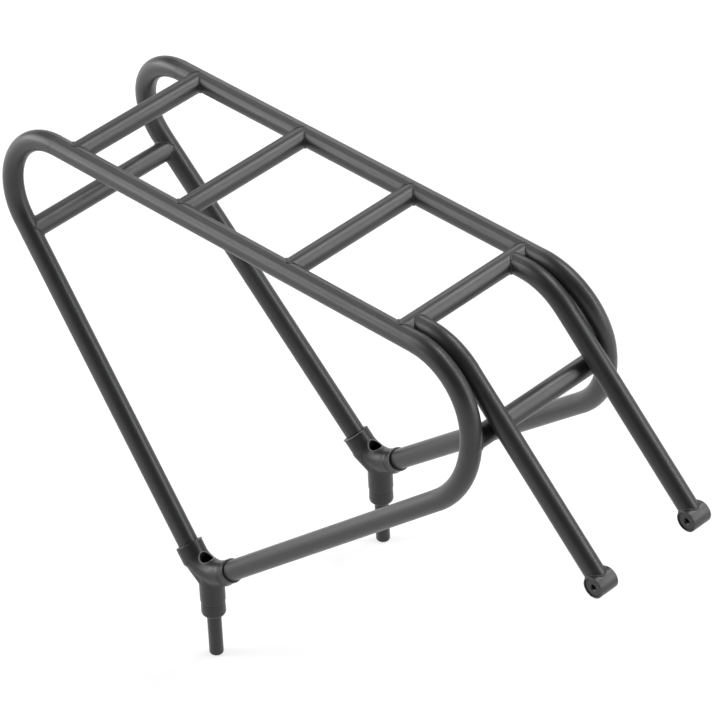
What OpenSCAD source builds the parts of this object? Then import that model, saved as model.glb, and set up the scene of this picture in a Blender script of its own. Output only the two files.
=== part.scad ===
// Welded tubular carrier for the rear of a bicycle.
// Two bent side loops stand splayed on cast lugs. Four rungs make the platform between them,
// two stays reach forward to threaded bosses, and a pin under each lug drops into the frame.
// +X points forward to the bosses, +Y to the left, +Z up. The origin lies midway between the
// two pins, on the lower faces of their collars. Millimetres.

/* [Tube] */
// Outer diameter of loops, rungs and cross tubes, with their coat of powder
tube_d = 16.5; // [14:0.5:17]
// Wall thickness of the tubes
tube_wall = 1.5; // [1:0.25:2.5]
// How far a bend stands proud of the straight tube beside it, inside and out
bend_swell = 0.1; // [0.1:0.01:0.15]
// Root gap between a coped tube end and what it is welded to
weld_gap = 0.1; // [0.1:0.05:0.3]

/* [Side loops] */
// Lean of each loop's plane out from vertical, in degrees
splay_angle = 5; // [0:0.5:8]
// Slope of the straight rear leg below horizontal, in degrees
leg_angle = 49.3; // [44:0.1:54]
// Slope of the lower rail above horizontal, in degrees
lower_rail_angle = 39.4; // [35:0.1:44]
// Distance in the loop's plane from the rail's axis down to where leg and lower rail cross
loop_drop = 322.5; // [300:0.5:345]
// Centreline radius of the bend at the rear top
rear_bend_r = 50; // [36:1:50]
// Centreline radius of the upper bend of the nose
upper_nose_r = 58; // [48:1:64]
// Centreline radius of the lower bend of the nose
lower_nose_r = 83; // [60:1:88]
// Straight stretch between the two bends of the nose
nose_straight = 3; // [2:0.5:20]

/* [Platform] */
// Distance between neighbouring rungs, axis to axis
rung_pitch = 115; // [100:1:117]
// Distance from the front rung's axis to the start of the nose bend
front_rung_margin = 16.5; // [11:0.5:18]
// Distance in the loop's plane from the rail's axis down to the rear cross tube
rear_cross_drop = 91; // [91:1:140]
// Distance in the loop's plane from the rail's axis down to the front cross tube
front_cross_drop = 60.5; // [59:0.5:66]
// How far the front cross tube's axis lies behind the nose's, so that the stays pass over it
front_cross_setback = 1; // [0:0.1:2]

/* [Stays] */
// Outer diameter of the stays
stay_d = 16; // [14:0.5:16.5]
// Side clearance between a stay and the rail beside it
stay_gap = 0.3; // [0.3:0.1:3]
// Level length from the front rung's axis to the stay's bend
stay_run = 14; // [12:0.5:24]
// Centreline radius of the stay's bend
stay_bend_r = 56; // [40:1:60]
// Slope of the stay's straight leg below horizontal, in degrees
stay_angle = 45.5; // [42:0.1:52]
// Length from the end of the stay's bend to the boss axis
stay_leg = 180; // [150:1:210]

/* [Bosses] */
// Outer diameter of the boss across the end of each stay
boss_d = 17.7; // [17:0.1:20]
// Length of the boss, along the carrier's width
boss_length = 18.5; // [17:0.5:24]
// Outer diameter of the threaded insert pressed into the boss
insert_d = 15; // [10:0.5:15.5]
// Depth of the insert's end faces inside the boss
insert_recess = 0.3; // [0.2:0.1:1.5]
// Diameter of the hole through the insert, the core of an M5 thread
thread_core_d = 4.2; // [4:0.1:6.8]

/* [Lugs] */
// Outer diameter of the cast elbow between the two sleeves
lug_d = 20.6; // [20.4:0.1:21.4]
// Centreline radius of the elbow
elbow_r = 28; // [25:0.5:29]
// Outer diameter of the sleeve round the leg
leg_sleeve_d = 22; // [21.6:0.1:24]
// Distance from the crossing of the axes to the rim of the leg's sleeve
leg_sleeve = 32; // [30:0.5:40]
// Distance from the crossing to the foot of the leg's sleeve, where it steps out of the elbow
leg_sleeve_foot = 17; // [15:0.5:22]
// Outer diameter of the sleeve round the lower rail
rail_sleeve_d = 19.6; // [19.5:0.1:20.2]
// Distance from the crossing of the axes to the rim of the lower rail's sleeve
rail_sleeve = 36.5; // [31:0.5:46]
// Distance from the crossing of the axes to the bottoms of both sleeves' bores
sleeve_bottom = 20; // [19.5:0.5:24]
// Rounding of the sleeve rims
sleeve_edge_r = 0.9; // [0.4:0.1:1.1]
// Outer diameter of the socket under the elbow
socket_d = 20.3; // [19.4:0.1:20.3]
// Distance from the socket's rim up to the crossing of the axes
socket_length = 17.5; // [15:0.5:24]
// Diameter of the window that is drilled down through the inner bend of the elbow
window_d = 10.6; // [8:0.1:10.8]
// How far the crossing of the axes lies behind the pin
lug_setback = 4.4; // [3:0.1:6]
// Radial clearance of tubes and spigots in the lugs, and of inserts in the bosses
fit_gap = 0.05; // [0.02:0.01:0.1]
// Gap between the end of a tube and the bottom of its sleeve
seat_gap = 0.1; // [0.05:0.05:0.3]

/* [Pins] */
// Distance between the two pins, axis to axis
pin_spacing = 189.5; // [170:0.5:210]
// Diameter of the locating pins
pin_d = 11.5; // [11:0.5:13]
// Length of each pin below its collar
pin_length = 40.5; // [25:0.5:60]
// Diameter of the thinner spigot on which collar and lug sit
spigot_d = 10.5; // [8:0.1:10.6]
// Depth that the spigot reaches up into the lug
spigot_depth = 22; // [14:0.5:26]
// Rounding of the pin's lower end
pin_tip_r = 1.6; // [0.5:0.1:3]
// Height of the collar between the socket and the frame
collar_height = 14; // [8:0.5:20]
// Diameter of the collar at its upper face
collar_top_d = 19.2; // [17.5:0.1:19.3]
// Largest diameter of the collar, near its lower edge
collar_d = 20; // [19.4:0.1:22]
// Rounding of the collar's lower edge
collar_edge_r = 2.6; // [1:0.1:3.2]

/* [Hidden] */
$fn = 64;
left = 1;
right = -1;
rung_count = 4;
frame_grey = [0.27, 0.27, 0.28];
lug_grey = [0.24, 0.24, 0.25];
insert_grey = [0.19, 0.19, 0.2];
// Length that carries a cutter clear of what it cuts
clear = 60;
// Length by which a straight runs on inside the bend beside it
lap = 1;

// The lug: the two sleeve axes cross at the origin of the lug's plane
crossing_angle = 180 - leg_angle - lower_rail_angle;
elbow_tangent = elbow_r / tan(crossing_angle / 2);
bisector = (180 - leg_angle + lower_rail_angle) / 2;
elbow_centre = elbow_r / sin(crossing_angle / 2) * [cos(bisector), sin(bisector)];
elbow_rise = elbow_centre[1] - elbow_r;
crossing_height = collar_height + socket_length;

// The loop's plane: x as in the carrier, heights measured from the rail's axis
rail_height = crossing_height + loop_drop * cos(splay_angle);
rail_y = pin_spacing / 2 - (loop_drop - elbow_rise) * sin(splay_angle);
rear_corner_x = -lug_setback - loop_drop / tan(leg_angle);
rear_centre = [rear_corner_x + rear_bend_r / tan(leg_angle / 2), -rear_bend_r];
lower_turn = 90 - lower_rail_angle;
nose_drop = upper_nose_r + nose_straight + lower_nose_r * tan(lower_turn / 2);
nose_x = -lug_setback + (loop_drop - nose_drop) / tan(lower_rail_angle);
upper_centre = [nose_x - upper_nose_r, -upper_nose_r];
lower_centre = [nose_x - lower_nose_r, -upper_nose_r - nose_straight];
leg_top = rear_centre + rear_bend_r * [-sin(leg_angle), -cos(leg_angle)];
rail_front = lower_centre + lower_nose_r * [sin(lower_rail_angle), -cos(lower_rail_angle)];
crossing = [-lug_setback, -loop_drop];
lug_inset = sleeve_bottom + seat_gap + lap;
leg_foot = crossing + lug_inset * [-cos(leg_angle), sin(leg_angle)];
leg_length = norm(leg_foot - leg_top);
lower_rail_length = norm(crossing - rail_front) - lug_inset;

// Rungs and cross tubes
rung_x = [
  for (i = [0 : rung_count - 1])
    upper_centre[0] - front_rung_margin - (rung_count - 1 - i) * rung_pitch
];
rear_cross_x = rear_corner_x + rear_cross_drop / tan(leg_angle);
front_cross_x = nose_x - front_cross_setback;

// Stays, in the upright plane stay_y from the middle
stay_y = rail_y - (tube_d + stay_d) / 2 - stay_gap;
stay_centre = [rung_x[rung_count - 1] + stay_run, -stay_bend_r];
stay_bend_end = stay_centre + stay_bend_r * [sin(stay_angle), cos(stay_angle)];
boss_at = stay_bend_end + stay_leg * [cos(stay_angle), -sin(stay_angle)];

// A solid round bar or, with a wall, a tube's cross-section
module section(d, wall = 0) {
  difference() {
    circle(d = d);
    if (wall > 0) {
      circle(d = d - 2 * wall);
    }
  }
}

// Straight stretch in the XZ plane from a point, along a heading above +X, with a lap at each end
module straight(from, heading, length, d, wall = 0) {
  translate([from[0], 0, from[1]])
    rotate([0, 90 - heading, 0])
      translate([0, 0, -lap])
        rotate(180)
          linear_extrude(height = length + 2 * lap)
            section(d, wall);
}

// Bend in the XZ plane round a centre, from a polar angle through a sweep
module bend(centre, r, start, sweep, d, wall = 0) {
  swollen_wall = wall > 0 ? wall + 2 * bend_swell : 0;
  translate([centre[0], 0, centre[1]])
    rotate([90, 0, 0])
      rotate([0, 0, start])
        rotate_extrude(angle = sweep)
          translate([r, 0])
            section(d + 2 * bend_swell, swollen_wall);
}

// Places what is drawn in the loop's plane at one side of the carrier
module in_loop_plane(side) {
  translate([0, side * rail_y, rail_height])
    rotate([side * splay_angle, 0, 0])
      children();
}

// The two bends of the nose and the short straight between them
module nose(d, wall = 0) {
  bend(upper_centre, upper_nose_r, 0, 90, d, wall);
  straight([nose_x, -upper_nose_r], -90, nose_straight, d, wall);
  bend(lower_centre, lower_nose_r, -lower_turn, lower_turn, d, wall);
}

// One tube bent from the lug up the leg, along the platform, round the nose and back down
module side_loop(side) {
  color(frame_grey)
    in_loop_plane(side) {
      straight(leg_foot, 180 - leg_angle, leg_length, tube_d, tube_wall);
      bend(rear_centre, rear_bend_r, 90, 180 - leg_angle, tube_d, tube_wall);
      straight([rear_centre[0], 0], 0, upper_centre[0] - rear_centre[0], tube_d, tube_wall);
      nose(tube_d, tube_wall);
      straight(rail_front, 180 + lower_rail_angle, lower_rail_length, tube_d, tube_wall);
    }
}

// Tube across the carrier, long enough to be coped at both ends
module cross_bar(x, z, half_length) {
  translate([x, half_length, z])
    rotate([90, 0, 0])
      linear_extrude(height = 2 * half_length)
        section(tube_d, tube_wall);
}

// Platform rung, coped to the rails
module rung(i) {
  color(frame_grey)
    difference() {
      cross_bar(rung_x[i], rail_height, rail_y);
      for (side = [left, right]) {
        in_loop_plane(side)
          straight([rung_x[i] - clear / 2, 0], 0, clear, tube_d + 2 * weld_gap);
      }
    }
}

// Cross tube between the legs, under the rear bends
module rear_cross_tube() {
  drop = rear_cross_drop;
  color(frame_grey)
    difference() {
      cross_bar(
        rear_cross_x,
        rail_height - drop * cos(splay_angle),
        rail_y + drop * sin(splay_angle)
      );
      for (side = [left, right]) {
        in_loop_plane(side)
          translate([rear_cross_x, 0, -drop])
            rotate([0, 90 + leg_angle, 0])
              cylinder(d = tube_d + 2 * weld_gap, h = clear, center = true);
      }
    }
}

// Cross tube between the noses of the loops, under the stays and kept clear of them
module front_cross_tube() {
  drop = front_cross_drop;
  color(frame_grey)
    difference() {
      cross_bar(
        front_cross_x,
        rail_height - drop * cos(splay_angle),
        rail_y + drop * sin(splay_angle)
      );
      for (side = [left, right]) {
        in_loop_plane(side)
          nose(tube_d + 2 * (bend_swell + weld_gap));
        translate([0, side * stay_y, rail_height])
          straight(stay_bend_end, -stay_angle, stay_leg, stay_d + 2 * weld_gap);
      }
    }
}

// Bent stay from the front rung down to its boss
module stay(side) {
  color(frame_grey)
    translate([0, side * stay_y, rail_height])
      difference() {
        union() {
          straight([rung_x[rung_count - 1], 0], 0, stay_run, stay_d, tube_wall);
          bend(stay_centre, stay_bend_r, 90 - stay_angle, stay_angle, stay_d, tube_wall);
          straight(stay_bend_end, -stay_angle, stay_leg, stay_d, tube_wall);
        }
        translate([rung_x[rung_count - 1], 0, 0])
          rotate([90, 0, 0])
            cylinder(d = tube_d + 2 * weld_gap, h = clear, center = true);
        translate([boss_at[0], 0, boss_at[1]])
          rotate([90, 0, 0])
            cylinder(d = boss_d + 2 * weld_gap, h = clear, center = true);
      }
}

// Places what is drawn along Z on the boss axis, centred on the stay
module at_boss(side) {
  translate([boss_at[0], side * stay_y, rail_height + boss_at[1]])
    rotate([90, 0, 0])
      children();
}

// Sleeve welded across the end of a stay
module boss(side) {
  color(frame_grey)
    at_boss(side)
      difference() {
        cylinder(d = boss_d, h = boss_length, center = true);
        cylinder(d = insert_d + 2 * fit_gap, h = clear, center = true);
      }
}

// Turned insert with the thread for the mounting screw
module boss_insert(side) {
  color(insert_grey)
    at_boss(side)
      difference() {
        cylinder(d = insert_d, h = boss_length - 2 * insert_recess, center = true);
        cylinder(d = thread_core_d, h = clear, center = true);
      }
}

// Solid cast sleeve along Z with a rounded rim
module sleeve(d, length) {
  rotate_extrude()
    difference() {
      square([d / 2, length]);
      translate([d / 2 - sleeve_edge_r, length - sleeve_edge_r])
        mirror([0, 1])
          corner_cut(sleeve_edge_r);
    }
}

// Turns a sleeve or its bore so that it leaves the crossing along a heading
module along(heading, start) {
  rotate([0, 90 - heading, 0])
    translate([0, 0, start])
      children();
}

// Cast lug: an elbow with two sleeves and an upright socket, and a window in its inner bend
module lug(side) {
  bore_d = tube_d + 2 * fit_gap;
  elbow_height = crossing_height + elbow_rise;
  color(lug_grey)
    difference() {
      union() {
        in_loop_plane(side)
          translate([crossing[0], 0, crossing[1]]) {
            bend(elbow_centre, elbow_r, 270 - leg_angle, 180 - crossing_angle, lug_d);
            along(180 - leg_angle, leg_sleeve_foot)
              sleeve(leg_sleeve_d, leg_sleeve - leg_sleeve_foot);
            along(lower_rail_angle, elbow_tangent - lap)
              sleeve(rail_sleeve_d, rail_sleeve - elbow_tangent + lap);
          }
        translate([0, side * pin_spacing / 2, collar_height])
          cylinder(d = socket_d, h = elbow_height - collar_height);
      }
      in_loop_plane(side)
        translate([crossing[0], 0, crossing[1]]) {
          along(180 - leg_angle, sleeve_bottom) cylinder(d = bore_d, h = clear);
          along(lower_rail_angle, sleeve_bottom) cylinder(d = bore_d, h = clear);
        }
      translate([0, side * pin_spacing / 2, 0])
        cylinder(d = spigot_d + 2 * fit_gap, h = elbow_height);
      translate([-lug_setback, side * pin_spacing / 2, elbow_height - elbow_rise / 2])
        cylinder(d = window_d, h = clear);
    }
}

// What is cut away to round a profile's outer corner, which stands at the origin's right and below
module corner_cut(r) {
  difference() {
    translate([0, -2 * r])
      square(2 * r);
    circle(r = r);
  }
}

// Turned collar that carries the lug on the frame
module pin_collar(side) {
  bore_r = spigot_d / 2 + fit_gap;
  color(lug_grey)
    translate([0, side * pin_spacing / 2, 0])
      rotate_extrude()
        difference() {
          polygon([
            [bore_r, 0],
            [collar_d / 2, 0],
            [collar_d / 2, collar_edge_r],
            [collar_top_d / 2, collar_height],
            [bore_r, collar_height]
          ]);
          translate([collar_d / 2 - collar_edge_r, collar_edge_r])
            corner_cut(collar_edge_r);
        }
}

// Locating pin with a rounded lower end, turned down above its shoulder to the spigot
module pin(side) {
  top = collar_height + spigot_depth;
  color(lug_grey)
    translate([0, side * pin_spacing / 2, 0])
      rotate_extrude()
        difference() {
          polygon([
            [0, -pin_length],
            [pin_d / 2, -pin_length],
            [pin_d / 2, 0],
            [spigot_d / 2, 0],
            [spigot_d / 2, top],
            [0, top]
          ]);
          translate([pin_d / 2 - pin_tip_r, pin_tip_r - pin_length])
            corner_cut(pin_tip_r);
        }
}

side_loop(left);  // left_side_loop
side_loop(right);  // right_side_loop
rung(0);  // rung_1
rung(1);  // rung_2
rung(2);  // rung_3
rung(3);  // rung_4
rear_cross_tube();
front_cross_tube();
stay(left);  // left_stay
stay(right);  // right_stay
boss(left);  // left_boss
boss(right);  // right_boss
boss_insert(left);  // left_boss_insert
boss_insert(right);  // right_boss_insert
lug(left);  // left_lug
lug(right);  // right_lug
pin_collar(left);  // left_pin_collar
pin_collar(right);  // right_pin_collar
pin(left);  // left_pin
pin(right);  // right_pin
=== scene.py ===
# %% [markdown]
# # A welded tube carrier for a bicycle
#
# The object is a rear carrier of bent round tube. Its tubes are welded to each other, it stands on
# two locating pins under cast lugs, and all of it wears one dark grey powder coat. Nothing moves.
#
# Its exact shape comes from CAD. It could be modelled again in Blender, but two models of one
# object drift apart, so the CAD model is loaded as a fixed frame and every node keeps its place.
# This script adds what CAD leaves out: broken edges, the soft forms of a casting, weld beads, thin
# lips round the openings, the finish of the paint, and a small studio with a camera.

# %% Load the CAD model as the frame
import math

import bmesh
import bpy
from mathutils import Matrix, Vector


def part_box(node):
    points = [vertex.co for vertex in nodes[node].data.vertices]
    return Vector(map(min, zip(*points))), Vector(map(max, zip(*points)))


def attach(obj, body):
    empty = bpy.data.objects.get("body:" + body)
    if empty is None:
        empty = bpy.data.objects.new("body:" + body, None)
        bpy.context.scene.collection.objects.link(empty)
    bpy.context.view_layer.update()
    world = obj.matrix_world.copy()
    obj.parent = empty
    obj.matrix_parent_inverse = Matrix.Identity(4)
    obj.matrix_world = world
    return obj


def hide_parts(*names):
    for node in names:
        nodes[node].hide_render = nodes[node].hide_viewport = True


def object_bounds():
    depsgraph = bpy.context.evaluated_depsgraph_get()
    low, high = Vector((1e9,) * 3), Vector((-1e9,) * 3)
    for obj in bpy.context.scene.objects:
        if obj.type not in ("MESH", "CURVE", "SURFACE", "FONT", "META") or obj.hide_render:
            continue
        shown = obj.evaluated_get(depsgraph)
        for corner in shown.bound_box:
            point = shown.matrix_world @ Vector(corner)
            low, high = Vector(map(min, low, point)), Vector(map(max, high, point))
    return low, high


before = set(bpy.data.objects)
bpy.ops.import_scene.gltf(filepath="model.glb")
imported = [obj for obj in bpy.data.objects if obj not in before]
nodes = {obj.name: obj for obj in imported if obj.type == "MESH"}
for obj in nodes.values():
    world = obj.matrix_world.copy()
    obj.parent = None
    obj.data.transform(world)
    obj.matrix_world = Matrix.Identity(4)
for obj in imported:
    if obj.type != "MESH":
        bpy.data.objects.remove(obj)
cad_low, cad_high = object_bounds()
scene = bpy.context.scene
MM = 0.001
print("CAD nodes:", len(nodes), "box:", [round(v, 4) for v in (*cad_low, *cad_high)])

# %% [markdown]
# ## The camera
#
# A small product is shot from far away with a long lens, because that keeps parallel tubes nearly
# parallel. A camera could be turned by hand or made to track a target, but neither says in plain
# numbers where it stands. Here azimuth and elevation say from which side it looks at its aim point,
# and the roll leans the picture by a little, as on a tripod that isn't quite level.

# %% Place the camera
AIM = Vector((0.06432, 0.0114, 0.224))
AZIMUTH = math.radians(45.88)
ELEVATION = math.radians(36.91)
ROLL = math.radians(-2.7)
DISTANCE = 3.84962
LENS_MM = 255.006
SENSOR_MM = 36
VIEW_REACH = 50


def camera_axes(azimuth, elevation, roll):
    """Right, up and backward directions of a camera that looks at its aim point."""
    back = Vector((
        math.sin(azimuth) * math.cos(elevation),
        -math.cos(azimuth) * math.cos(elevation),
        math.sin(elevation),
    ))
    level_right = Vector((math.cos(azimuth), math.sin(azimuth), 0))
    level_up = back.cross(level_right)
    right = math.cos(roll) * level_right + math.sin(roll) * level_up
    return right, back.cross(right), back


camera = bpy.data.objects.new("camera", bpy.data.cameras.new("camera"))
scene.collection.objects.link(camera)
scene.camera = camera
camera.data.lens = LENS_MM
camera.data.sensor_width = SENSOR_MM
camera.data.clip_end = VIEW_REACH
view_right, view_up, view_back = camera_axes(AZIMUTH, ELEVATION, ROLL)
view_place = AIM + DISTANCE * view_back
turned_view = Matrix((view_right, view_up, view_back)).transposed().to_4x4()
camera.matrix_world = Matrix.Translation(view_place) @ turned_view
scene.view_settings.view_transform = "Standard"
print("camera at", [round(v, 3) for v in view_place])

# %% [markdown]
# ## Shader maths
#
# Node trees for paint are mostly arithmetic on masks. Written node by node and link by link, the
# sums are hard to read. So a small class wraps a socket: an expression on such sockets adds its
# Math nodes, and one method adds any other node.


# %% A socket that does arithmetic
class Sock:
    """A socket of a node tree, on which + - * / and > add Math nodes."""

    def __init__(self, tree, socket=None):
        self.tree = tree
        self.socket = socket

    def node(self, kind, values=None, output=0, **settings):
        """Adds a node: first its settings, then the values or links of its sockets."""
        made = self.tree.nodes.new(kind)
        for name, setting in settings.items():
            setattr(made, name, setting)
        for entry, value in (values or {}).items():
            if isinstance(value, Sock):
                self.tree.links.new(value.socket, made.inputs[entry])
            else:
                made.inputs[entry].default_value = value
        return Sock(self.tree, made.outputs[output] if made.outputs else None)

    def beside(self, name):
        """Another output of the node that this socket belongs to."""
        return Sock(self.tree, self.socket.node.outputs[name])

    def math(self, operation, other=None, turned=False):
        """A Math node on this socket and another term, which comes first if turned."""
        terms = (other, self) if turned else (self, other)
        given = {place: term for place, term in enumerate(terms) if term is not None}
        return self.node("ShaderNodeMath", given, operation=operation)

    def __add__(self, other):
        return self.math("ADD", other)

    def __radd__(self, other):
        return self.math("ADD", other, turned=True)

    def __sub__(self, other):
        return self.math("SUBTRACT", other)

    def __rsub__(self, other):
        return self.math("SUBTRACT", other, turned=True)

    def __mul__(self, other):
        return self.math("MULTIPLY", other)

    def __rmul__(self, other):
        return self.math("MULTIPLY", other, turned=True)

    def __truediv__(self, other):
        return self.math("DIVIDE", other)

    def __rtruediv__(self, other):
        return self.math("DIVIDE", other, turned=True)

    def __gt__(self, other):
        return self.math("GREATER_THAN", other)


print("besides its operators, a socket has", [n for n in vars(Sock) if not n.startswith("_")])

# %% [markdown]
# ## Powder coat
#
# Powder coat is plastic dust that melts on the hot metal. Up close it has an orange peel of about
# a millimetre and finer grains, and it is never quite even in gloss. Its colour is plain, so nearly
# all of its look lies in the roughness and in the bump. Scanned images could give that, but they
# need a layout on every tube. Noise in Object coordinates needs none and has no seams. One builder
# makes it for tubes, castings, turned pieces and the pale lips that carry a painted highlight, with
# other strengths for each.


# %% Noise of a known size
def noise(at, size, detail, roughness=0.5):
    """Soft noise whose features are about the given size in metres."""
    return at.node(
        "ShaderNodeTexNoise",
        {"Vector": at, "Scale": 1 / size, "Detail": detail, "Roughness": roughness},
        noise_dimensions="3D",
    )


def new_material(name):
    """An empty material, and a starting point for its nodes."""
    material = bpy.data.materials.new(name)
    material.use_nodes = True
    material.node_tree.nodes.clear()
    return material, Sock(material.node_tree)


print("a feature of", MM, "m needs a noise scale of", 1 / MM)

# %% Build the paint
PEEL_SIZE = 1.6 * MM
GRAIN_SIZE = 0.28 * MM
CLOUD_SIZE = 34 * MM  # slow drift of gloss and shade along a tube
FLECK_SIZE = 0.5 * MM  # the odd brighter grain
FLECK_LIMIT = 0.72
NOISE_MEAN = 0.5
CLOUD_TINT = 0.16
GRAIN_TINT = 0.10
FLECK_TINT = 0.05
PEEL_GLOSS = 0.05
PLASTIC_IOR = 1.5


def powder_coat(name, colour, roughness, peel, grain, blotch, shine):
    """Satin powder coat: peel and grain are bump heights in metres, blotch varies the gloss."""
    material, start = new_material(name)
    at = start.node("ShaderNodeTexCoord", output="Object")
    peel_wave = noise(at, PEEL_SIZE, detail=1.0)
    grain_wave = noise(at, GRAIN_SIZE, detail=2.0, roughness=0.6)
    cloud = noise(at, CLOUD_SIZE, detail=3.0) - NOISE_MEAN
    fleck = noise(at, FLECK_SIZE, detail=1.0) > FLECK_LIMIT

    height = peel_wave * peel + grain_wave * grain
    bump = start.node("ShaderNodeBump", {"Height": height, "Strength": 1.0, "Distance": 1.0})
    shade = 1 + cloud * CLOUD_TINT + (grain_wave - NOISE_MEAN) * GRAIN_TINT + fleck * FLECK_TINT
    tinted = start.node("ShaderNodeVectorMath", {0: colour, "Scale": shade}, operation="SCALE")
    gloss = roughness + cloud * blotch + (peel_wave - NOISE_MEAN) * PEEL_GLOSS
    coat = start.node("ShaderNodeBsdfPrincipled", {
        "Base Color": tinted,
        "Roughness": gloss,
        "Normal": bump,
        "IOR": PLASTIC_IOR,
        "Specular IOR Level": shine,
    })
    start.node("ShaderNodeOutputMaterial", {"Surface": coat})
    return material


tube_paint = powder_coat(
    "tube_paint", colour=(0.022, 0.022, 0.023), roughness=0.38,
    peel=0.005 * MM, grain=0.0015 * MM, blotch=0.10, shine=0.50,
)
print(tube_paint.name, "has", len(tube_paint.node_tree.nodes), "nodes")

# %% [markdown]
# ## Painting the tubes
#
# Loops, rungs, cross tubes and stays are drawn tube, bent and coped. They could be swept along
# their paths again, but their CAD shapes are right as they are, and a copy could only be worse. So
# those nodes stay, and only their material slots are filled anew.

# %% Paint the tubes
TUBES = ["left_side_loop", "right_side_loop", "rung_1", "rung_2", "rung_3", "rung_4"]
TUBES += ["rear_cross_tube", "front_cross_tube", "left_stay", "right_stay"]


def paint(piece, material):
    """Gives a piece one material."""
    piece.data.materials.clear()
    piece.data.materials.append(material)


for name in TUBES:
    paint(nodes[name], tube_paint)
print("painted:", TUBES)

# %% [markdown]
# ## New pieces
#
# Some pieces need a better shape than their CAD node has, and some, such as a weld bead, have no
# node. A CAD mesh could be edited in place, but then it would no longer be what collides. So a new
# mesh stands for its node, which stays, hidden and unchanged. Every new piece rides with the
# carrier and gets its paint. Its modifiers are turned into plain faces before that,
# so that it leaves Blender as it looks.


# %% Take in a new piece
def take_in(mesh, name, material, replaced=()):
    """Makes a finished mesh a piece of the carrier."""
    piece = bpy.data.objects.new(name, mesh)
    scene.collection.objects.link(piece)
    paint(piece, material)
    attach(piece, "root")
    if replaced:
        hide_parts(*replaced)
    return piece


print("nodes that new pieces may stand for:", sorted(set(nodes) - set(TUBES)))

# %% [markdown]
# ## Turned pieces
#
# Bosses, inserts, collars and pins are turned on a lathe, and a turner breaks every edge. CAD
# leaves them sharp. A Bevel modifier would round them all by one width, but here a collar's foot
# and a thread's mouth differ. So each piece is a profile spun round its axis. The profile is a
# short list of corners with their radii, and the arcs are worked out.

# %% Round the corners of a profile
ARC_STEPS = 6


def rounded(corners):
    """A closed outline of points from corners, each given as (across, along, radius)."""
    outline = []
    for i, (across, along, radius) in enumerate(corners):
        here = Vector((across, along))
        before = Vector(corners[i - 1][:2]) - here
        after = Vector(corners[(i + 1) % len(corners)][:2]) - here
        before.normalize()
        after.normalize()
        if radius == 0:
            outline.append(here)
            continue
        half = before.angle(after) / 2
        reach = radius / math.tan(half)  # from the corner to where the arc starts and ends
        middle = here + (before + after).normalized() * radius / math.sin(half)
        start = here + before * reach - middle
        sweep = -start.angle_signed(here + after * reach - middle)
        for step in range(ARC_STEPS + 1):
            turn = Matrix.Rotation(sweep * step / ARC_STEPS, 2)
            outline.append(middle + turn @ start)
    return outline


print("a rounded corner has", len(rounded([(0, 0, 0), (2, 0, 1), (2, 2, 0)])) - 2, "points")

# %% Spin a profile round an axis
UP = Vector((0, 0, 1))
SPIN_STEPS = 96
SAME_POINT = 0.0005 * MM
NO_LENGTH = 0.0001 * MM
TURNED_CREASE = math.radians(40)


def lathe(corners, foot, axis):
    """A solid of revolution whose profile runs along an axis from its foot."""
    turned = bmesh.new()
    profile = [turned.verts.new((across, 0, along)) for across, along in rounded(corners)]
    edges = [turned.edges.new((profile[i - 1], profile[i])) for i in range(len(profile))]
    bmesh.ops.spin(
        turned, geom=profile + edges, axis=UP, cent=(0, 0, 0), angle=math.tau, steps=SPIN_STEPS
    )
    bmesh.ops.remove_doubles(turned, verts=turned.verts, dist=SAME_POINT)
    bmesh.ops.dissolve_degenerate(turned, edges=turned.edges, dist=NO_LENGTH)
    turn = UP.rotation_difference(axis).to_matrix().to_4x4()
    bmesh.ops.transform(turned, matrix=Matrix.Translation(foot) @ turn, verts=turned.verts)
    bmesh.ops.recalc_face_normals(turned, faces=turned.faces)
    mesh = bpy.data.meshes.new("turned")
    turned.to_mesh(mesh)
    turned.free()
    mesh.shade_smooth()
    mesh.set_sharp_from_angle(angle=TURNED_CREASE)
    return mesh


print("a turn has", SPIN_STEPS, "steps of", 360 / SPIN_STEPS, "degrees")

# %% [markdown]
# ## Bosses and inserts
#
# A boss is a short sleeve across the end of a stay, and its insert is a plug with the thread for
# the mounting screw. The insert is pressed in until it sits a little below the boss's rim, so both
# rims catch their own line of light. One profile for the two would lose the fine dark gap between
# them, so each is turned by itself. A small cone at each end of the thread leads the screw in.

# %% Measure a piece that lies across
SIDES = {"left": 1, "right": -1}  # a side's name, and the sign of its Y
LEFT = Vector((0, 1, 0))


def across_box(name):
    """Middle of a node's lower end in Y, its outer radius and its length, for an axis along Y."""
    low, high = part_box(name)
    middle = (low + high) / 2
    return Vector((middle.x, low.y, middle.z)), (high.x - low.x) / 2, high.y - low.y


for side in SIDES:
    print(side, "boss and insert are", [
        round(2 * across_box(side + name)[1] / MM, 2) for name in ("_boss", "_boss_insert")
    ], "mm across")

# %% Turn the bosses
EDGE = 0.6 * MM

for side in SIDES:
    foot, boss_r, length = across_box(side + "_boss")
    bore_r = across_box(side + "_boss_insert")[1]
    profile = [(bore_r, 0, EDGE), (boss_r, 0, EDGE), (boss_r, length, EDGE), (bore_r, length, EDGE)]
    boss = lathe(profile, foot, LEFT)
    take_in(boss, side + "_turned_boss", tube_paint, [side + "_boss"])
    print(side, "boss has", len(boss.polygons), "faces")

# %% Turn the inserts
THREAD_CORE_R = 2.1 * MM
THREAD_MOUTH = 0.9 * MM
INSERT_SUNK = 0.5 * MM

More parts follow.
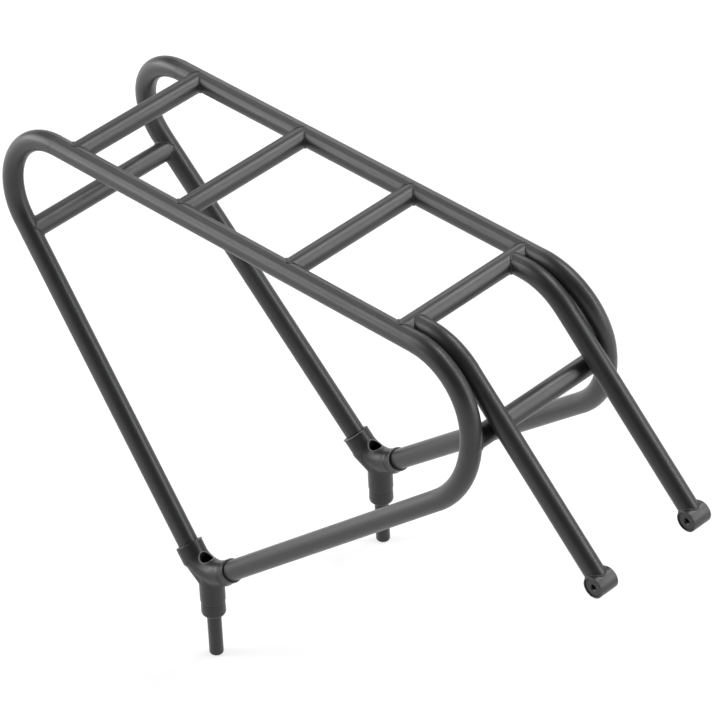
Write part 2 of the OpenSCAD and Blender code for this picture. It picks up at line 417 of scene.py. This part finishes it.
turned_paint = powder_coat(
    "turned_paint", colour=(0.015, 0.015, 0.016), roughness=0.35,
    peel=0.006 * MM, grain=0.002 * MM, blotch=0.08, shine=0.38,
)
for side in SIDES:
    foot, insert_r, length = across_box(side + "_boss_insert")
    face = INSERT_SUNK
    back_face = length - INSERT_SUNK
    profile = [
        (THREAD_CORE_R, face + THREAD_MOUTH, 0),
        (THREAD_CORE_R + THREAD_MOUTH, face, 0),
        (insert_r, face, EDGE),
        (insert_r, back_face, EDGE),
        (THREAD_CORE_R + THREAD_MOUTH, back_face, 0),
        (THREAD_CORE_R, back_face - THREAD_MOUTH, 0),
    ]
    mesh = lathe(profile, foot, LEFT)
    take_in(mesh, side + "_turned_insert", turned_paint, [side + "_boss_insert"])
    print(side, "insert has", len(mesh.polygons), "faces")

# %% [markdown]
# ## Collars and pins
#
# The pins drop into sockets of the bicycle, and the collars rest on them. A pin has a full end with
# a wide round, so that it finds its socket, and a thinner spigot that holds collar and lug. All of
# it could be one profile, but collar and pin are two pieces in the CAD model and stay two here.

# %% Turn the collars
SPIGOT_R = 5.25 * MM
SPIGOT_GAP = 0.05 * MM
COLLAR_TOP_R = 9.6 * MM
COLLAR_EDGE = 2.6 * MM
COLLAR_RIM = 0.5 * MM

for side in SIDES:
    low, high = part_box(side + "_pin_collar")
    collar_r = (high.x - low.x) / 2
    height = high.z - low.z
    profile = [
        (SPIGOT_R + SPIGOT_GAP, 0, 0),
        (collar_r, 0, COLLAR_EDGE),
        (COLLAR_TOP_R, height, COLLAR_RIM),
        (SPIGOT_R + SPIGOT_GAP, height, 0),
    ]
    foot = Vector(((low.x + high.x) / 2, (low.y + high.y) / 2, low.z))
    collar = lathe(profile, foot, UP)
    take_in(collar, side + "_turned_collar", turned_paint, [side + "_pin_collar"])
    print(side, "collar is", round(2 * collar_r / MM, 2), "mm wide")

# %% Turn the pins
PIN_EDGE = 1.6 * MM

for side in SIDES:
    low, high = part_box(side + "_pin")
    pin_r = (high.x - low.x) / 2
    length = high.z - low.z
    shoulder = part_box(side + "_pin_collar")[0].z - low.z
    profile = [
        (0, 0, 0),
        (pin_r, 0, PIN_EDGE),
        (pin_r, shoulder, 0),
        (SPIGOT_R, shoulder, 0),
        (SPIGOT_R, length, 0),
        (0, length, 0),
    ]
    foot = Vector(((low.x + high.x) / 2, (low.y + high.y) / 2, low.z))
    pin = lathe(profile, foot, UP)
    take_in(pin, side + "_turned_pin", turned_paint, [side + "_pin"])
    print(side, "pin is", round(2 * pin_r / MM, 2), "mm wide")

# %% [markdown]
# ## Cast lugs
#
# Each lug is cast in sand, so it has no sharp step outside, and the leg's sleeve flows into the
# upright socket. Subdivision surfaces would give such forms, but where three round arms meet at odd
# angles they need many hand-placed faces. Instead a copy of the exact CAD mesh gets some metal in
# that corner, is turned into fine voxels and then smoothed: a little at the rims, and a lot round
# the elbow.

# %% The lug's own axes
SPLAY = math.radians(5)
LEG_SLOPE = math.radians(49.3)
RAIL_SLOPE = math.radians(39.4)
LUG_SETBACK = 4.4 * MM
SOCKET_LENGTH = 17.5 * MM


def in_loop(side, x, rise):
    """A direction in the leaning plane of a side loop."""
    return Vector((x, -SIDES[side] * rise * math.sin(SPLAY), rise * math.cos(SPLAY)))


def lug_axes(side):
    """Where the sleeve axes cross, where the pin stands, and the ways of the two sleeves."""
    low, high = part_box(side + "_pin_collar")
    pin_at = Vector(((low.x + high.x) / 2, (low.y + high.y) / 2, high.z))
    crossing = pin_at + Vector((-LUG_SETBACK, 0, SOCKET_LENGTH))
    leg_way = in_loop(side, -math.cos(LEG_SLOPE), math.sin(LEG_SLOPE))
    rail_way = in_loop(side, math.cos(RAIL_SLOPE), math.sin(RAIL_SLOPE))
    return crossing, pin_at, leg_way, rail_way


print("leg and rail meet at", round(math.degrees(math.pi - LEG_SLOPE - RAIL_SLOPE), 1), "degrees")

# %% Fill the corner under the leg's sleeve
CORNER_FOOT = 18 * MM
CORNER_R = 10.9 * MM
SOCKET_R = 10.15 * MM
CORNER_STEPS = 64
CAD_SAME_POINT = 0.001 * MM


def ring(middle, way, radius, steps):
    """Points of a circle round an axis."""
    aside = way.orthogonal().normalized()
    across = way.cross(aside)
    turns = [math.tau * step / steps for step in range(steps)]
    return [middle + radius * (math.cos(t) * aside + math.sin(t) * across) for t in turns]


def filled_lug(side, crossing, pin_at, leg_way):
    """The CAD lug with a hull of metal from the leg's sleeve to the top of the socket."""
    shape = bmesh.new()
    shape.from_mesh(nodes[side + "_lug"].data)
    bmesh.ops.remove_doubles(shape, verts=shape.verts, dist=CAD_SAME_POINT)
    socket_top = Vector((pin_at.x, pin_at.y, crossing.z))
    rims = ring(crossing + CORNER_FOOT * leg_way, leg_way, CORNER_R, CORNER_STEPS)
    rims += ring(socket_top, UP, SOCKET_R, CORNER_STEPS)
    corner = [shape.verts.new(point) for point in rims]
    bmesh.ops.convex_hull(shape, input=corner)
    filled = bpy.data.meshes.new("filled")
    shape.to_mesh(filled)
    shape.free()
    return filled


print("the corner is filled between rings of", CORNER_STEPS, "points")

# %% Make it one skin
VOXEL = 0.36 * MM


def scratch_piece(mesh):
    """A passing object that holds a mesh while modifiers or rays work on it."""
    piece = bpy.data.objects.new("scratch", mesh)
    scene.collection.objects.link(piece)
    return piece


def evaluated_mesh(piece):
    """The mesh that a piece's modifiers make, with the piece itself taken out of the scene."""
    graph = bpy.context.evaluated_depsgraph_get()
    mesh = bpy.data.meshes.new_from_object(piece.evaluated_get(graph))
    bpy.data.objects.remove(piece)
    return mesh


def one_skin(mesh):
    """The mesh as one skin of small, even faces."""
    piece = scratch_piece(mesh)
    voxels = piece.modifiers.new("voxels", "REMESH")
    voxels.mode = "VOXEL"
    voxels.voxel_size = VOXEL
    return evaluated_mesh(piece)


print("voxels of", round(VOXEL / MM, 2), "mm")

# %% Say where the casting is soft
LEG_SOFT = (23 * MM, 29 * MM)  # fully soft up to here along the leg's sleeve, and firm from there
RAIL_SOFT = (32 * MM, 35.5 * MM)
SOCKET_SOFT = (0.0, 9 * MM)
WINDOW_FIRM = (6 * MM, 7.5 * MM)  # fully firm up to here from the window's axis


def fade(value, full, none):
    """1 below full, 0 above none, and an even slope between them."""
    return min(max((none - value) / (none - full), 0.0), 1.0)


def softness(away, leg_way, rail_way):
    """1 round the elbow, fading to 0 along each arm and near the window, which opens upwards."""
    soft = fade(away.dot(leg_way), *LEG_SOFT)
    soft *= fade(away.dot(rail_way), *RAIL_SOFT)
    soft *= fade(-away.z, *SOCKET_SOFT)
    if away.z > 0:
        soft *= 1 - fade(away.xy.length, *WINDOW_FIRM)
    return soft


print("softness 26 mm up the leg's sleeve:", round(fade(26 * MM, *LEG_SOFT), 2))

# %% Soften the casting
EDGE_ROUNDS = 2
ELBOW_ROUNDS = 90
ROUND_STRENGTH = 0.5


def softened(mesh, crossing, leg_way, rail_way):
    """The mesh smoothed a little everywhere, and a lot round the elbow."""
    piece = scratch_piece(mesh)
    elbow = piece.vertex_groups.new(name="elbow")
    for vertex in mesh.vertices:
        soft = softness(vertex.co - crossing, leg_way, rail_way)
        elbow.add([vertex.index], soft, "REPLACE")
    for rounds, group in ((EDGE_ROUNDS, ""), (ELBOW_ROUNDS, "elbow")):
        smooth = piece.modifiers.new("smooth", "SMOOTH")
        smooth.factor = ROUND_STRENGTH
        smooth.iterations = rounds
        smooth.vertex_group = group
    return evaluated_mesh(piece)


print("rounds of smoothing:", EDGE_ROUNDS, "and", ELBOW_ROUNDS)

# %% [markdown]
# ## Window and bore
#
# A round window is drilled down into the crotch of each lug, and meets the bore in which the pin's
# spigot is held. Both are machined after casting, so their edges stay crisp. Drilled before the
# voxels they would be smoothed away, so a Boolean cuts them last. The curved line of the window's
# edge is kept for the lip that runs round it, and rays from above find it on the soft skin.

# %% Drill a hole and find its edge
WINDOW_R = 5.6 * MM
WINDOW_START = 6 * MM
WINDOW_LENGTH = 60 * MM
EDGE_STEPS = 96


def drilled(mesh, foot, radius, length):
    """The mesh with an upright round hole that starts at the foot."""
    drill = lathe([(0, 0, 0), (radius, 0, 0), (radius, length, 0), (0, length, 0)], foot, UP)
    body = scratch_piece(mesh)
    tool = scratch_piece(drill)
    cut = body.modifiers.new("cut", "BOOLEAN")
    cut.operation = "DIFFERENCE"
    cut.solver = "MANIFOLD"
    cut.object = tool
    result = evaluated_mesh(body)
    bpy.data.objects.remove(tool)
    return result


def window_edge(mesh, crossing):
    """The line in which the window leaves the casting's skin."""
    probe = scratch_piece(mesh)
    bpy.context.view_layer.update()
    starts = ring(crossing + WINDOW_LENGTH * UP, -UP, WINDOW_R, EDGE_STEPS)
    edge = [probe.ray_cast(start, -UP)[1] for start in starts]
    bpy.data.objects.remove(probe)
    return edge


print("the window is", round(2 * WINDOW_R / MM, 1), "mm wide")

# %% Cast both lugs
SPIGOT_BORE_R = SPIGOT_R + SPIGOT_GAP
BORE_START = -1 * MM
BORE_LENGTH = 29 * MM
CAST_CREASE = math.radians(50)

cast_paint = powder_coat(
    "cast_paint", colour=(0.016, 0.016, 0.017), roughness=0.38,
    peel=0.030 * MM, grain=0.004 * MM, blotch=0.14, shine=0.40,
)
window_edges = {}
for side in SIDES:
    crossing, pin_at, leg_way, rail_way = lug_axes(side)
    raw = one_skin(filled_lug(side, crossing, pin_at, leg_way))
    soft_lug = softened(raw, crossing, leg_way, rail_way)
    window_edges[side] = window_edge(soft_lug, crossing)
    bored = drilled(soft_lug, pin_at + BORE_START * UP, SPIGOT_BORE_R, BORE_LENGTH)
    mesh = drilled(bored, crossing + WINDOW_START * UP, WINDOW_R, WINDOW_LENGTH)
    mesh.shade_smooth()
    mesh.set_sharp_from_angle(angle=CAST_CREASE)
    lug = take_in(mesh, side + "_cast_lug", cast_paint, [side + "_lug"])
    print(lug.name, "has", len(lug.data.polygons), "faces")

# %% [markdown]
# ## Weld beads
#
# Every coped joint is closed by a bead that runs once round it. A Boolean of the two tubes would
# give its line as loose edges, but the line also follows a rule: from each point round the end of
# the bar, one walks along the bar until the other tube's wall is reached. That gives an even path
# for any angle. At the crest, where both walls lie flush, a welder leaves less metal, so there the
# path sinks into the tubes.

# %% Find the line in which two tubes meet
BEAD_R = 1.0 * MM
BEAD_SUNK = 0.50  # share of the bead's radius by which its path sinks at the crest
PATH_STEPS = 120


def meeting_line(bar_end, bar_way, bar_r, tube_at, tube_way, tube_r):
    """Closed path round the joint of a bar that comes from bar_end along bar_way to a tube."""
    aside = tube_way.cross(bar_way).normalized()
    along = bar_way.cross(aside)
    path = []
    for step in range(PATH_STEPS):
        angle = math.tau * step / PATH_STEPS
        out_of_bar = math.cos(angle) * along + math.sin(angle) * aside
        start = bar_end + bar_r * out_of_bar - tube_at
        flat_start = start - start.dot(tube_way) * tube_way
        flat_way = bar_way - bar_way.dot(tube_way) * tube_way
        # The walk ends where the distance from the tube's axis is the tube's radius. That is a
        # quadratic equation, a * walk * walk + 2 * b * walk + c = 0, and the nearer end is wanted.
        a = flat_way.length_squared
        b = flat_start.dot(flat_way)
        c = flat_start.length_squared - tube_r ** 2
        walk = (-b - math.sqrt(max(b * b - a * c, 0))) / a
        place = tube_at + start + walk * bar_way
        from_axis = place - tube_at
        out_of_tube = (from_axis - from_axis.dot(tube_way) * tube_way).normalized()
        flush = max(out_of_bar.dot(out_of_tube), 0) ** 2
        outward = (out_of_bar + out_of_tube).normalized()
        path.append(place - outward * BEAD_R * BEAD_SUNK * flush)
    return path


print("a bead's path has", PATH_STEPS, "points")

# %% Find the rails and the noses
TUBE_R = 8.25 * MM
STAY_R = 8.0 * MM
BEND_SWELL = 0.1 * MM


def centre(name):
    """The middle of a node's box."""
    low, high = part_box(name)
    return (low + high) / 2


loop_low, loop_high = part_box("left_side_loop")
rail_z = centre("rung_1").z
rail_y = loop_low.y + TUBE_R + BEND_SWELL
nose_x = loop_high.x - TUBE_R - BEND_SWELL
print("rails at", [round(v, 4) for v in (rail_y, rail_z)], "noses at x =", round(nose_x, 4))

# %% List the joints of the bars
FORWARD = Vector((1, 0, 0))

joints = []
for side, sign in SIDES.items():
    outward_way = Vector((0, sign, 0))
    rail_top = Vector((0, sign * rail_y, rail_z))
    for rung in ("rung_1", "rung_2", "rung_3", "rung_4"):
        rung_at = centre(rung)
        on_rail = rail_top + Vector((rung_at.x, 0, 0))
        joints.append((rung_at, outward_way, TUBE_R, on_rail, FORWARD, TUBE_R))
    leg_down = in_loop(side, math.cos(LEG_SLOPE), -math.sin(LEG_SLOPE))
    nose_down = in_loop(side, 0, -1)
    for bar, tube_x, tube_way in (
        ("rear_cross_tube", centre("rear_cross_tube").x, leg_down),
        ("front_cross_tube", nose_x, nose_down),
    ):
        bar_at = centre(bar)
        drop = (rail_z - bar_at.z) / math.cos(SPLAY)
        on_tube = rail_top + in_loop(side, tube_x, -drop)
        joints.append((bar_at, outward_way, TUBE_R, on_tube, tube_way, TUBE_R))
print("joints of rungs and cross tubes:", len(joints))

# %% List the joints of the stays
STAY_SLOPE = math.radians(45.5)
UP_THE_STAY = 0.1  # a point on the stay's axis that is well clear of the boss

for side in SIDES:
    boss_at = centre(side + "_boss")
    boss_r = across_box(side + "_boss")[1]
    stay_start = Vector((boss_at.x, boss_at.y, rail_z))
    on_rung = Vector((centre("rung_4").x, boss_at.y, rail_z))
    joints.append((stay_start, -FORWARD, STAY_R, on_rung, LEFT, TUBE_R))
    stay_way = Vector((math.cos(STAY_SLOPE), 0, -math.sin(STAY_SLOPE)))
    joints.append((boss_at - UP_THE_STAY * stay_way, stay_way, STAY_R, boss_at, LEFT, boss_r))
print("welded joints:", len(joints))

# %% [markdown]
# ## Sweeping a bead
#
# A bead is laid drop by drop, so it has a small ripple. A curve with a round bevel would be smooth,
# and a model of each drop would be thousands of faces. The ripple repeats along a path, and that is
# what Geometry Nodes do well: the path is cut into short even steps, and the radius of the section
# follows a sine of the length walked.

# %% Name the inputs of the sweep
RIPPLE_PITCH = 1.5 * MM
RIPPLE_DEPTH = 0.08  # share of the bead's radius


def tree_input(tree, name, kind, value=None):
    """A named input of a Geometry Nodes tree, with its default value."""
    entry = tree.interface.new_socket(name, in_out="INPUT", socket_type="NodeSocket" + kind)
    if value is not None:
        entry.default_value = value
    return entry.identifier


sweeper = bpy.data.node_groups.new("weld_bead", "GeometryNodeTree")
sweeper.interface.new_socket("Geometry", in_out="OUTPUT", socket_type="NodeSocketGeometry")
tree_input(sweeper, "Geometry", "Geometry")
entries = {
    "Bead Radius": tree_input(sweeper, "Bead Radius", "Float", BEAD_R),
    "Ripple Pitch": tree_input(sweeper, "Ripple Pitch", "Float", RIPPLE_PITCH),
    "Ripple Depth": tree_input(sweeper, "Ripple Depth", "Float", RIPPLE_DEPTH),
    "Paint": tree_input(sweeper, "Paint", "Material"),
}
print("inputs of the sweep:", entries)

# %% Build the tree that sweeps a bead
POINTS_PER_RIPPLE = 6
SECTION_POINTS = 12


def build_sweep(start):
    """The nodes that sweep a rippled round bead along every closed line of a mesh."""
    given = start.node("NodeGroupInput")
    pitch = given.beside("Ripple Pitch")
    path = start.node("GeometryNodeMeshToCurve", {"Mesh": given.beside("Geometry")})
    fine = start.node(
        "GeometryNodeResampleCurve", {"Curve": path, "Length": pitch / POINTS_PER_RIPPLE},
        mode="LENGTH",
    )
    along = start.node("GeometryNodeSplineParameter", output="Length")
    ripple = (along / pitch * math.tau).math("SINE") * given.beside("Ripple Depth") + 1
    section = start.node(
        "GeometryNodeCurvePrimitiveCircle", {"Resolution": SECTION_POINTS, "Radius": 1.0}
    )
    bead_radius = ripple * given.beside("Bead Radius")
    swept = start.node(
        "GeometryNodeCurveToMesh", {"Curve": fine, "Profile Curve": section, "Scale": bead_radius}
    )
    smooth = start.node("GeometryNodeSetShadeSmooth", {"Geometry": swept})
    real = start.node("GeometryNodeRealizeInstances", {"Geometry": smooth})
    painted = start.node(
        "GeometryNodeSetMaterial", {"Geometry": real, "Material": given.beside("Paint")}
    )
    start.node("NodeGroupOutput", {"Geometry": painted})


build_sweep(Sock(sweeper))
print("nodes of the sweep:", [node.name for node in sweeper.nodes])


# %% Sweep the weld beads
def sweep(loops, name, material, slot, **settings):
    """A piece made of one bead along each closed line of points."""
    points = []
    edges = []
    for loop in loops:
        first = len(points)
        points += loop
        edges += [(first + i, first + (i + 1) % len(loop)) for i in range(len(loop))]
    lines = bpy.data.meshes.new("lines")
    lines.from_pydata(points, edges, [])
    maker = scratch_piece(lines)
    modifier = maker.modifiers.new("sweep", "NODES")
    modifier.node_group = sweeper
    modifier[entries["Paint"]] = material
    for setting, value in settings.items():
        modifier[entries[setting.replace("_", " ")]] = value
    return take_in(evaluated_mesh(maker), name, material)


beads = sweep([meeting_line(*joint) for joint in joints], "weld_beads", tube_paint, "frame_paint")
print("beads have", len(beads.data.polygons), "faces")

# %% [markdown]
# ## Lips
#
# The mouths of the sleeves, the windows and the bosses have a thin raised lip, where the metal was
# trimmed. Each lip is painted pale, which paints a line of highlight round its opening, and being
# raised it also throws a fine shadow. It is the same swept bead, thinner and without ripple.

# %% Sweep the lips of the lugs
LIP_R = 0.48 * MM
RIM_STEP = 0.65 * MM  # how far a lip's path lies inside the sharp rim of a sleeve
LEG_SLEEVE = (32.0 * MM, 11.0 * MM)  # from the crossing to the mouth, and the outer radius
RAIL_SLEEVE = (36.5 * MM, 9.8 * MM)

# pale paint for the lips: a painted highlight, a line of light round each opening
lip_highlight_paint = powder_coat(
    "lip_highlight_paint", colour=(0.110, 0.110, 0.112), roughness=0.34,
    peel=0.010 * MM, grain=0.003 * MM, blotch=0.16, shine=0.50,
)
lip_size = {"Bead_Radius": LIP_R, "Ripple_Depth": 0.0}
for side in SIDES:
    crossing, pin_at, leg_way, rail_way = lug_axes(side)
    lines = [window_edges[side]]
    for way, (mouth, radius) in ((leg_way, LEG_SLEEVE), (rail_way, RAIL_SLEEVE)):
        mouth_at = crossing + (mouth - RIM_STEP) * way
        lines.append(ring(mouth_at, way, radius - RIM_STEP, EDGE_STEPS))
    lips = sweep(lines, side + "_lug_lips", lip_highlight_paint, "lug_paint", **lip_size)
    print(lips.name, "has", len(lips.data.polygons), "faces")

# %% Sweep the lips of the bosses
for side in SIDES:
    foot, boss_r, length = across_box(side + "_boss")
    wall_r = (across_box(side + "_boss_insert")[1] + boss_r) / 2
    ends = (foot + RIM_STEP * LEFT, foot + (length - RIM_STEP) * LEFT)
    lines = [ring(end, LEFT, wall_r, EDGE_STEPS) for end in ends]
    lips = sweep(lines, side + "_boss_lips", lip_highlight_paint, "frame_paint", **lip_size)
    print(lips.name, "has", len(lips.data.polygons), "faces")

# %% [markdown]
# ## The floor
#
# The carrier stands on a white floor that runs out of sight. More light would make a grey floor
# white, but it would also wash out the dark paint. So the floor has two looks: matt white for the
# light that it throws back on the carrier, and for rays that see it directly a mix of its own glow
# and the lamps' light, which keeps a faint shadow. The lamps fade with distance, so the glow grows
# to full white away from them.

# %% Tell direct rays apart
DIRECT_RAYS = ("Is Camera Ray", "Is Glossy Ray", "Is Transmission Ray")


def seen_directly(start):
    """1 for rays from the camera, from a reflection or through glass, 0 for the rest."""
    rays = start.node("ShaderNodeLightPath")
    camera_ray, glossy_ray, passed_ray = (rays.beside(kind) for kind in DIRECT_RAYS)
    return (camera_ray + glossy_ray + passed_ray).math("MINIMUM", 1.0)


def smooth_step(value, begins, ends, low, high):
    """A level that goes gently from low to high while the value goes from begins to ends."""
    limits = {"From Min": begins, "From Max": ends, "To Min": low, "To Max": high}
    return value.node(
        "ShaderNodeMapRange", {"Value": value, **limits}, interpolation_type="SMOOTHSTEP"
    )


print("direct rays:", DIRECT_RAYS)

# %% Lay the floor
FLOOR_HALF = 8.0
FLOOR_WHITE = (0.8, 0.8, 0.8, 1)  # for the light that it throws back
SHOWN_WHITE = (0.40, 0.40, 0.40, 1)  # for the lamps' light that is seen on it
SHOWN_GLOW = 0.62  # its glow round the carrier
LIT_RADIUS = 0.55  # from here the lamps' light falls off
FAR_RADIUS = 1.5  # and from here the glow is full white


def white_floor():
    """A floor that lights as matt white, and shows white with a faint shadow."""
    material, start = new_material("floor_white")
    bounce = start.node("ShaderNodeBsdfDiffuse", {"Color": FLOOR_WHITE})
    shown = start.node("ShaderNodeBsdfDiffuse", {"Color": SHOWN_WHITE})
    place = start.node("ShaderNodeTexCoord", output="Object")
    away = place.node("ShaderNodeVectorMath", {0: place}, output="Value", operation="LENGTH")
    level = smooth_step(away, LIT_RADIUS, FAR_RADIUS, SHOWN_GLOW, 1.0)
    glow = start.node("ShaderNodeEmission", {"Color": level, "Strength": 1.0})
    lit = start.node("ShaderNodeAddShader", {0: shown, 1: glow})
    look = start.node("ShaderNodeMixShader", {0: seen_directly(start), 1: bounce, 2: lit})
    start.node("ShaderNodeOutputMaterial", {"Surface": look})
    return material


floor_mesh = bpy.data.meshes.new("floor")
corners = [(x * FLOOR_HALF, y * FLOOR_HALF) for x, y in ((-1, -1), (1, -1), (1, 1), (-1, 1))]
floor_mesh.from_pydata([(x, y, cad_low.z) for x, y in corners], [], [(0, 1, 2, 3)])
floor = bpy.data.objects.new("floor", floor_mesh)
scene.collection.objects.link(floor)
paint(floor, white_floor())
print("floor at z =", round(cad_low.z, 4))

# %% [markdown]
# ## Room and lamps
#
# Dark satin tubes show the room more than their own colour. One lamp would give each a single hard
# streak, and an even white dome would make them flat. So the side of the camera stays dark, soft
# boxes stand round the rest, and the room is white near the horizon and dark overhead. Then each
# tube gets a dark core with soft light bands along both edges, which makes it look round.

# %% Room
HORIZON_TOP = 10  # degrees above the horizon
CEILING_EDGE = 25
HORIZON_LEVEL = 1.0
CEILING_LEVEL = 0.0

world = bpy.data.worlds.new("studio")
scene.world = world
world.use_nodes = True
world.node_tree.nodes.clear()
sky = Sock(world.node_tree)
direction = sky.node("ShaderNodeTexCoord", output="Generated")
height = sky.node("ShaderNodeSeparateXYZ", {"Vector": direction}, output="Z")
horizon_ends, ceiling_starts = (math.sin(math.radians(v)) for v in (HORIZON_TOP, CEILING_EDGE))
room_level = smooth_step(height, horizon_ends, ceiling_starts, HORIZON_LEVEL, CEILING_LEVEL)
backdrop = sky.node("ShaderNodeBackground", {"Color": (1, 1, 1, 1), "Strength": room_level})
sky.node("ShaderNodeOutputWorld", {"Surface": backdrop})
print("room: white below", HORIZON_TOP, "degrees, dark above", CEILING_EDGE)

# %% Lamps
LAMP_DISTANCE = 2.6
LAMP_LEVEL = 10.0  # brightness of a box at level 1
LAMP_SIDE = 0.95


def soft_box(name, azimuth, elevation, level, wide=1.0, high=1.0):
    """A soft box that faces the carrier. Azimuth 0 stands at -Y, and 90 at +X."""
    turn = math.radians(azimuth)
    rise = math.radians(elevation)
    way = Vector((
        math.sin(turn) * math.cos(rise), -math.cos(turn) * math.cos(rise), math.sin(rise)
    ))
    lamp = bpy.data.objects.new(name, bpy.data.lights.new(name, "AREA"))
    scene.collection.objects.link(lamp)
    lamp.data.shape = "RECTANGLE"
    lamp.data.size = LAMP_SIDE * wide
    lamp.data.size_y = LAMP_SIDE * high
    lamp.data.energy = math.pi * LAMP_LEVEL * level * lamp.data.size * lamp.data.size_y
    lamp.location = AIM + LAMP_DISTANCE * way
    lamp.rotation_euler = way.to_track_quat("Z", "Y").to_euler()
    return lamp


lamps = [
    soft_box("left_low", azimuth=303, elevation=14, level=0.60, wide=2.6),
    soft_box("left_high", azimuth=312, elevation=45, level=0.62, high=1.5),
    soft_box("right_low", azimuth=121, elevation=14, level=0.50),
    soft_box("right_middle", azimuth=134, elevation=32, level=0.66),
    soft_box("right_high", azimuth=146, elevation=52, level=0.37),
    soft_box("back_high", azimuth=174, elevation=52, level=0.85),
    soft_box("back_low", azimuth=222, elevation=32, level=0.35),
    soft_box("back_left", azimuth=258, elevation=52, level=0.28),
]
print("lamps:", {lamp.name: round(lamp.data.energy, 1) for lamp in lamps})

# %% [markdown]
